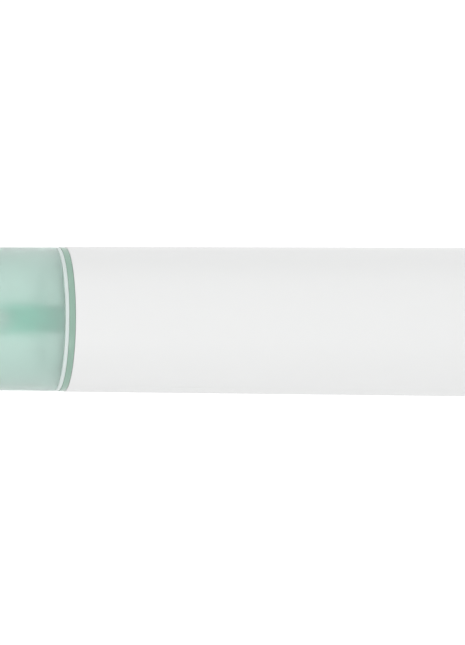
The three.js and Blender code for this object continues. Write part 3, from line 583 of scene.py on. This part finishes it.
def build_grip():
    """Soft sleeve whose ribs are fluted all round."""
    line = softened(outline_of("grip_sleeve"), 0.4 * MM, steps=3)
    foot = low("grip_sleeve").z
    top = high("grip_sleeve").z
    radii = [radius_at("grip_sleeve", z) for z in (foot, top)]

    def fluted(r, z, angle):
        floor = radii[0] + (radii[1] - radii[0]) * (z - foot) / (top - foot)
        proud = max(0.0, r - floor)
        return r - proud * FLUTE_DEPTH * (1 - math.cos(FLUTES * angle))

    piece = lathe("grip_skin", line, FLUTES * 6, closed=True, shape=fluted)
    stands_for(piece, "grip_sleeve")


# ---------------------------------------------------------------- tail

SCALLOPS = 10
SCALLOP_R = 6 * MM
BOOT_R = high("tail_boot").x
GROOVES = (9 * MM, 13.5 * MM)  # inner radii of the ring grooves under the boot
GROOVE_DEPTH = 0.35 * MM
GROOVE_WIDTH = 1.2 * MM
GROOVE_SLOPE = 0.2 * MM


def build_boot():
    """Soft boot with scallops round its side and ring grooves underneath."""
    line = outline_of("tail_boot", FROM_X)
    foot = [(0.0, 0.0)]
    for r in GROOVES:
        foot += [(r, 0.0), (r + GROOVE_SLOPE, GROOVE_DEPTH)]
        foot += [(r + GROOVE_WIDTH - GROOVE_SLOPE, GROOVE_DEPTH), (r + GROOVE_WIDTH, 0.0)]
    line = softened(foot + line[1:], 0.5 * MM)
    notch = outline_of("tail_boot")
    deep = BOOT_R - min(r for r, z in notch if r > BOOT_R - 2 * MM)
    start = min(z for r, z in notch if abs(r - (BOOT_R - deep)) < 0.01 * MM)
    centre = BOOT_R + SCALLOP_R - deep
    side = dense(line[1:-1], 0.6 * MM, start - 0.5 * MM, high("tail_boot").z)
    line = [line[0]] + side[:-1] + [line[-2], line[-1]]
    inner = BOOT_R - 2.2 * MM
    pitch = TURN / SCALLOPS

    def scalloped(r, z, angle):
        if r < inner:
            return r
        off = (angle % pitch) - pitch / 2
        if abs(centre * math.sin(off)) >= SCALLOP_R:
            return r
        hollow = centre * math.cos(off) - math.sqrt(SCALLOP_R ** 2 - (centre * math.sin(off)) ** 2)
        soft = 0.12 * MM
        if hollow >= r + MM:
            return r
        lower = -soft * math.log(math.exp(-r / soft) + math.exp(-hollow / soft))
        return r + (lower - r) * smoothstep(start, start + 1.4 * MM, z)

    piece = lathe("boot_skin", line, SCALLOPS * 24, closed=False, shape=scalloped)
    stands_for(piece, "tail_boot")


THREAD_PITCH = 3.5 * MM
THREAD_TURNS = 2
THREAD_STEPS = 128
THREAD_R = 0.75 * MM
THREAD_DROP = 8.5 * MM  # top of the cap's spigot to the foot of its thread
RUN_OUT = 0.06  # share of the thread's length over which it thins out at either end


def ridge(name, node, wall_r, start_z):
    """A screw thread's ridge along a helix, half sunk in the wall, running out at both ends."""
    rows = []
    for i in range(THREAD_STEPS + 1):
        t = i / THREAD_STEPS
        size = THREAD_R * smoothstep(0, RUN_OUT, min(t, 1 - t)) ** 0.5 + 0.02 * MM
        z = start_z + THREAD_PITCH * THREAD_TURNS * t
        rows.append(helix_row(wall_r, size, TURN * THREAD_TURNS * t, z, 14))
    belongs_to(skin(name, rows, looped=False, capped=True), node)


PILOT_R = 1.4 * MM  # holes for the small screws


def build_cap():
    """Screw cap with a lug for the lanyard ring, pilot holes for the magnet's retainer, and the thread."""
    line = softened(outline_of("end_cap", FROM_X, whole_rings=True), 0.3 * MM)
    piece = lathe("cap_skin", line, 128, closed=True)
    ring_hole = joint_place("ring_swing")
    p = points("end_cap")
    lug = p[p[:, 1] > ring_hole.y]
    half = float(np.abs(lug[:, 0]).max())
    eye_r = high("end_cap").y - ring_hole.y
    around = np.hypot(lug[:, 1] - ring_hole.y, lug[:, 2] - ring_hole.z)
    hole_r = float(around.min())
    across = Matrix.Translation(ring_hole) @ Matrix.Rotation(math.radians(90), 4, "Y")
    eye = lathe("eye", softened([(0, -half), (eye_r, -half), (eye_r, half), (0, half)], 0.6 * MM), 64, False)
    eye.data.transform(across)
    wall = radius_at("end_cap", low("end_cap").z) - 1.5 * MM
    neck = rounded_bar(
        "neck", (-half, half), (wall, ring_hole.y), (ring_hole.z - eye_r, ring_hole.z + eye_r), 0.6 * MM,
    )
    boolean(neck, eye, "UNION")
    boolean(piece, neck, "UNION")
    flare = 0.5 * MM
    past = half + flare
    wide = hole_r + 2 * flare
    bell = [(0, -past), (wide, -past), (hole_r, -half + flare)]
    bell += [(hole_r, half - flare), (wide, past), (0, past)]
    tool = lathe("eye_hole", rounded(bell, [0, 0, flare, flare, 0, 0]), 48, False)
    tool.data.transform(across)
    boolean(piece, tool, "DIFFERENCE")
    for i in (1, 2, 3):
        screw = middle(f"retainer_screw_{i}")
        pilot = drill("pilot", PILOT_R, low("end_cap").z - MM, high("magnet").z + 0.3 * MM)
        pilot.data.transform(Matrix.Translation((screw.x, screw.y, 0)))
        boolean(piece, pilot, "DIFFERENCE")
    shade(piece, 40)
    stands_for(piece, "end_cap")
    spigot_r = radius_at("end_cap", high("end_cap").z)
    start_z = high("end_cap").z - THREAD_DROP
    ridge("cap_thread", "end_cap", spigot_r, start_z)
    foot_r = radius_at("handle_shell", low("handle_shell").z, widest=False)
    ridge("handle_thread", "handle_shell", foot_r, start_z - THREAD_PITCH / 2)


def build_lanyard_ring():
    """Bent wire, with a fine seam where its ends meet at the bottom."""
    box_low = low("lanyard_ring")
    box_high = high("lanyard_ring")
    # The CAD wire has few sides, so its depth is a little under its diameter.
    wire = max((box_high.y - box_low.y) / 2, MM)
    centre = (box_low + box_high) / 2
    radius = (box_high.z - box_low.z) / 2 - wire
    around = 24
    along = 160
    seam = 0.022  # half its width, as an angle
    rows = []
    for i in range(along):
        a = TURN * i / along
        apart = abs((a - 0.75 * TURN + math.pi) % TURN - math.pi)
        size = wire - 0.16 * MM * math.exp(-((apart / seam) ** 2))
        row = []
        for k in range(around):
            b = TURN * k / around
            r = radius + size * math.cos(b)
            out = size * math.sin(b)
            row.append((centre.x + r * math.cos(a), centre.y + out, centre.z + r * math.sin(a)))
        rows.append(row)
    stands_for(skin("ring_wire", rows, looped=True), "lanyard_ring")


# ---------------------------------------------------------------- light section

SHOULDER_Z = ring_heights("lens_tube")[1]


def domed(line, steps=20):
    """Turns the CAD dome's few steps at either end of an outline into smooth quarter ellipses."""
    at_shoulder = [i for i, (r, z) in enumerate(line) if abs(z - SHOULDER_Z) < 2 * SAME]
    first = at_shoulder[0]
    last = at_shoulder[-1]

    def arc(radius, top):
        rise = top - SHOULDER_Z
        return [
            (radius * math.cos(t), SHOULDER_Z + rise * math.sin(t))
            for t in (QUARTER * k / steps for k in range(steps))
        ] + [(0.0, top)]

    inner = arc(line[first][0], line[0][1])[::-1]
    outer = arc(line[last][0], line[-1][1])
    return inner + line[first + 1:last] + outer


def build_lens():
    """Frosted light tube with a domed end."""
    foot = low("lens_tube").z
    line = softened(domed(outline_of("lens_tube")), 0.28 * MM, only=lambda r, z: abs(z - foot) < SAME)
    stands_for(lathe("lens_skin", line, 160, closed=False), "lens_tube")


def build_bumper():
    """Soft cap over the tip of the tube."""
    line = domed(outline_of("tip_bumper"))
    limit = SHOULDER_Z - 0.1 * MM
    line = softened(line, 0.5 * MM, only=lambda r, z: z < limit)
    stands_for(lathe("bumper_skin", line, 128, closed=False), "tip_bumper")


def build_collar():
    """Clear ring that sits down on the handle's mouth, with a crisp soft edge."""
    mouth = high("handle_shell").z
    seat = mouth + 0.04 * MM  # all but touches the mouth, so no dark gap shows
    line = [(r, seat if 0 < z - mouth < 0.5 * MM else z) for r, z in outline_of("lens_collar")]
    line = softened(line, 0.16 * MM)
    stands_for(lathe("collar_ring", line, 160, closed=True), "lens_collar")


def build_seal():
    """Soft ring that all but fills the gap between collar and light tube."""
    outer = high("lens_seal").x
    inner = radius_at("lens_seal", low("lens_seal").z, widest=False)
    foot = low("lens_seal").z - 0.14 * MM
    top = low("lens_tube").z - 0.01 * MM
    line = softened([(inner, foot), (outer, foot), (outer, top), (inner, top)], 0.12 * MM)
    stands_for(lathe("seal_ring", line, 160, closed=True), "lens_seal")


def build_holder():
    """White holder with two jaws on the board's edges, its rims softened."""
    p = points("board_holder")
    foot, base, top = (float(z) for z in np.unique(np.round(p[:, 2], 6))[[0, 1, -1]])
    crown = np.abs(p[p[:, 2] > top - SAME])
    open_half = float(crown[:, 0].min())
    jaw_depth = float(crown[:, 1].max())
    radius = high("board_holder").x
    board = high("led_board") + Vector((0.3, 0.3, 0)) * MM
    past = 2 * radius
    disc = softened([(0, foot), (radius, foot), (radius, top), (0, top)], 0.35 * MM)
    piece = lathe("holder_body", disc, 128, False)
    channel = rounded_bar("channel", (-open_half, open_half), (-past, past), (base, top + radius), 0.25 * MM)
    boolean(piece, channel, "DIFFERENCE")
    for side in (-1, 1):
        y = sorted((side * jaw_depth, side * past))
        boolean(piece, rounded_bar("beside", (-past, past), y, (base, top + radius), 0.25 * MM), "DIFFERENCE")
        screw = middle("holder_screw_1" if side < 0 else "holder_screw_2")
        hole = drill("hole", PILOT_R, foot - MM, base + MM)
        hole.data.transform(Matrix.Translation((screw.x, screw.y, 0)))
        boolean(piece, hole, "DIFFERENCE")
    slit = rounded_bar("slit", (-board.x, board.x), (-board.y, board.y), (foot - MM, top + MM), 0.05 * MM)
    boolean(piece, slit, "DIFFERENCE")
    shade(piece, 40)
    stands_for(piece, "board_holder")


def build_leds():
    """Through-hole LEDs: one finely turned shape with a round dome, copied to every place."""
    shape = None
    for side, along in (("back", "Y"), ("front", "-Y")):
        count = sum(name.startswith(f"led_{side}_") for name in NODES)
        for i in range(1, count + 1):
            node = f"led_{side}_{i}"
            if shape is None:
                line = outline_of(node, axis_of(node, along))
                crown = line[-3]
                dome = [
                    (crown[0] * math.cos(t), crown[1] + (line[-1][1] - crown[1]) * math.sin(t))
                    for t in (QUARTER * k / 10 for k in range(10))
                ]
                flange = softened(line[:-3], 0.15 * MM, steps=2, only=lambda r, z: z > line[0][1])
                shape = flange + dome + [(0.0, line[-1][1])]
            piece = lathe(f"lamp_{side}_{i}", shape, 32, closed=False)
            piece.data.transform(axis_of(node, along))
            stands_for(piece, node)


# ---------------------------------------------------------------- switch

def build_bezel():
    """Ring round the button, with a soft rim."""
    to_axis = axis_of("switch_bezel", "Y")
    line = softened(outline_of("switch_bezel", to_axis), 0.25 * MM)
    piece = lathe("bezel_ring", line, 96, closed=True)
    piece.data.transform(to_axis)
    stands_for(piece, "switch_bezel")


def build_button():
    """Soft-edged button with a thumb dish and a raised dot in the middle."""
    to_axis = axis_of("switch_button", "Y")
    cad = outline_of("switch_button", to_axis)
    radius = cad[4][0]
    top = cad[-1][1]
    rim_r = radius - 1.3 * MM
    rim = top - 0.25 * MM
    dish = 0.45 * MM
    dot_r = 1.5 * MM
    dot_rise = 0.4 * MM
    line = cad[:4] + [(radius, top - 1.1 * MM), (radius - 0.25 * MM, top - 0.62 * MM)]
    line.append((rim_r + 0.3 * MM, rim))
    line = softened(line, 0.3 * MM, only=lambda r, z: z > cad[0][1])
    dish_steps = 12
    for k in range(dish_steps + 1):
        r = rim_r + (dot_r - rim_r) * k / dish_steps
        line.append((r, rim - dish * math.sin(QUARTER * k / dish_steps)))
    dot_steps = 6
    for k in range(1, dot_steps + 1):
        t = QUARTER * k / dot_steps
        line.append((dot_r * math.cos(t), rim - dish + dot_rise * math.sin(t)))
    line[-1] = (0.0, line[-1][1])
    piece = lathe("button_skin", line, 96, closed=False)
    piece.data.transform(to_axis)
    stands_for(piece, "switch_button")


# ---------------------------------------------------------------- pieces inside

def build_turned_inside():
    """Cells, magnet, contacts and round board parts, each with the radius of its corners in millimetres."""
    for node, along, radius in (
        ("cell_1", "Z", 0.5), ("cell_2", "Z", 0.5), ("cell_3", "Z", 0.5), ("capacitor", "Z", 0.4),
        ("inductor", "Y", 0.25), ("magnet", None, 0.4), ("contact_cup", None, 0.15),
        ("carrier_foot_contact", None, 0.1), ("carrier_top_contact", None, 0.1),
    ):
        to_axis = axis_of(node, along) if along else OWN_AXIS
        line = softened(outline_of(node, to_axis), radius * MM, only=lambda r, z: r > 0)
        piece = lathe(f"{node}_turned", line, 64, closed=line[0][0] > 0)
        piece.data.transform(to_axis)
        stands_for(piece, node)


def build_cap_seal():
    """O-ring of round section."""
    p = points("cap_seal")
    reach = np.hypot(p[:, 0], p[:, 1])
    inner = float(reach.min())
    outer = float(reach.max())
    centre = (inner + outer) / 2
    size = (outer - inner) / 2
    z = middle("cap_seal").z
    section = [TURN * k / 20 for k in range(20)]
    line = [(centre + size * math.cos(t), z + size * math.sin(t)) for t in section]
    stands_for(lathe("seal_o_ring", line, 128, closed=True), "cap_seal")


def build_spring():
    """Round wire wound in a helix, its ends closed by small caps."""
    box_low = low("battery_spring")
    box_high = high("battery_spring")
    wire = 0.5 * MM
    radius = (box_high.x - box_low.x) / 2 - wire
    foot = box_low.z + wire
    top = box_high.z - wire
    turns = 4
    steps = turns * 48
    closing = 0.12  # how much the pitch tightens towards either end
    rows = []
    for i in range(steps + 1):
        t = i / steps
        z = foot + (top - foot) * smoothstep(-closing, 1 + closing, t)
        rows.append(helix_row(radius, wire, TURN * turns * t, z, 12))
    stands_for(skin("spring_wire", rows, looped=False, capped=True), "battery_spring")


def build_bevelled_inside():
    """Plain blocks, as stand-ins with rounded edges."""
    for node, radius in (("led_board", 0.18), ("driver_chip", 0.2), ("board_header", 0.2)):
        a = low(node)
        b = high(node)
        piece = rounded_bar(f"{node}_block", (a.x, b.x), (a.y, b.y), (a.z, b.z), radius * MM)
        stands_for(piece, node)


build_handle()
build_grip()
build_boot()
build_cap()
build_lanyard_ring()
build_lens()
build_bumper()
build_collar()
build_seal()
build_holder()
build_leds()
build_bezel()
build_button()
build_turned_inside()
build_cap_seal()
build_spring()
build_bevelled_inside()


# ---------------------------------------------------------------- studio

def aim(obj, eye, forward, up):
    """Places an object that looks along its own -Z."""
    back = -Vector(forward).normalized()
    right = Vector(up).cross(back).normalized()
    true_up = back.cross(right)
    turn = Matrix((right, true_up, back)).transposed().to_4x4()
    obj.matrix_world = Matrix.Translation(eye) @ turn


CAMERA_RISE = math.radians(10.5)  # above the level of the joint
CAMERA_ROLL = math.radians(0.40)
LENS_MM = 350.0
SENSOR_MM = 36.0
LONG_SIDE = 645  # of the image, in pixels
JOINT = Vector((0, 0, high("handle_shell").z))
JOINT_WIDTH_PX = 144.15  # how wide the handle is at the joint, in the image
AIM_BELOW_JOINT = 0.04478
AIM_ASIDE = -0.00054


def add_camera():
    """Long lens far away, on its side: the baton's tip is to the left of the image."""
    data = bpy.data.cameras.new("camera")
    data.lens = LENS_MM
    data.sensor_width = SENSOR_MM
    data.sensor_fit = "AUTO"
    camera = bpy.data.objects.new("camera", data)
    bpy.context.scene.collection.objects.link(camera)
    forward = Vector((0, math.cos(CAMERA_RISE), -math.sin(CAMERA_RISE)))
    across = Vector((0, -math.sin(CAMERA_RISE), -math.cos(CAMERA_RISE)))
    up = Vector((1, 0, 0)) * math.cos(CAMERA_ROLL) - across * math.sin(CAMERA_ROLL)
    width = 2 * radius_at("handle_shell", JOINT.z)
    distance = LENS_MM * width / (JOINT_WIDTH_PX * SENSOR_MM / LONG_SIDE)
    target = JOINT + Vector((AIM_ASIDE, 0, -AIM_BELOW_JOINT))
    aim(camera, target - forward * distance, forward, up)
    data.clip_start = 0.05
    data.clip_end = 60
    bpy.context.scene.camera = camera


WHITE = (1, 1, 1, 1)
FLOOR_HALF = 12.0
FLOOR_GLOW = 0.22  # keeps the floor white in the image


def add_floor():
    h = FLOOR_HALF
    floor = mesh_piece("floor", [(-h, -h, 0), (h, -h, 0), (h, h, 0), (-h, h, 0)], [(0, 1, 2, 3)])
    floor.location.z = low("tail_boot").z
    pale = surface(
        "floor_white", (0.9, 0.9, 0.9, 1), 0.6, mottle=0.004, grain_depth=0.0,
        Emission_Color=WHITE, Emission_Strength=FLOOR_GLOW,
    )
    floor.data.materials.append(pale)


def add_light(name, azimuth, elevation, distance, size, power):
    """A rectangular softbox that faces the middle of the baton. Azimuth 0 is on the camera's side."""
    data = bpy.data.lights.new(name, "AREA")
    data.shape = "RECTANGLE"
    data.size, data.size_y = size
    data.energy = power
    light = bpy.data.objects.new(name, data)
    bpy.context.scene.collection.objects.link(light)
    a = math.radians(azimuth)
    e = math.radians(elevation)
    way = Vector((math.sin(a) * math.cos(e), -math.cos(a) * math.cos(e), math.sin(e)))
    centre = Vector((0, 0, JOINT.z))
    up = (0, 1, 0) if abs(way.z) > 0.9 else (0, 0, 1)
    aim(light, centre + way * distance, -way, up)
    light.visible_camera = False


WORLD_LEVEL = 0.97
SIDE_DIM = 0.15  # how much darker it is towards -X, the lower side of the image
BACK_DIM = 0.30  # how much darker it is behind the baton
SEEN_LEVEL = 1.02  # plain white where the camera sees the world itself


def add_world():
    """Even white light, a little darker on one side and behind."""
    world = bpy.data.worlds.new("studio")
    world.use_nodes = True
    bpy.context.scene.world = world
    tree = world.node_tree
    tree.nodes.clear()
    nodes = Nodes(tree)
    way = nodes.add("ShaderNodeTexCoord").outputs["Generated"]
    axes = nodes.add("ShaderNodeSeparateXYZ", {0: way}).outputs

    def towards(value, start, end):
        inputs = {"Value": value, "From Min": start, "From Max": end, "To Min": 0.0, "To Max": 1.0}
        return nodes.add("ShaderNodeMapRange", inputs, interpolation_type="SMOOTHSTEP").outputs["Result"]

    side = towards(axes["X"], 0.2, -1.0)
    behind = towards(axes["Y"], -0.2, 1.0)
    dimmed_side = nodes.math("MULTIPLY", side, SIDE_DIM)
    dimmed_back = nodes.math("MULTIPLY", behind, BACK_DIM)
    darker = nodes.math("ADD", dimmed_side, dimmed_back)
    level = nodes.math("SUBTRACT", WORLD_LEVEL, darker)
    studio = nodes.add("ShaderNodeBackground", {"Color": WHITE, "Strength": level})
    plain = nodes.add("ShaderNodeBackground", {"Color": WHITE, "Strength": SEEN_LEVEL})
    seen = nodes.add("ShaderNodeLightPath").outputs["Is Camera Ray"]
    both = nodes.add("ShaderNodeMixShader", {0: seen, 1: studio.outputs[0], 2: plain.outputs[0]})
    nodes.add("ShaderNodeOutputWorld", {"Surface": both.outputs[0]})


add_camera()
add_floor()
add_world()
add_light("key_softbox", -38, 15, 1.6, (0.25, 1.2), 4.5)
add_light("fill_softbox", 62, 15, 1.6, (0.30, 1.2), 2.4)
add_light("top_softbox", 0, 90, 2.6, (2.2, 2.2), 15.0)
bpy.context.scene.view_settings.view_transform = "Standard"
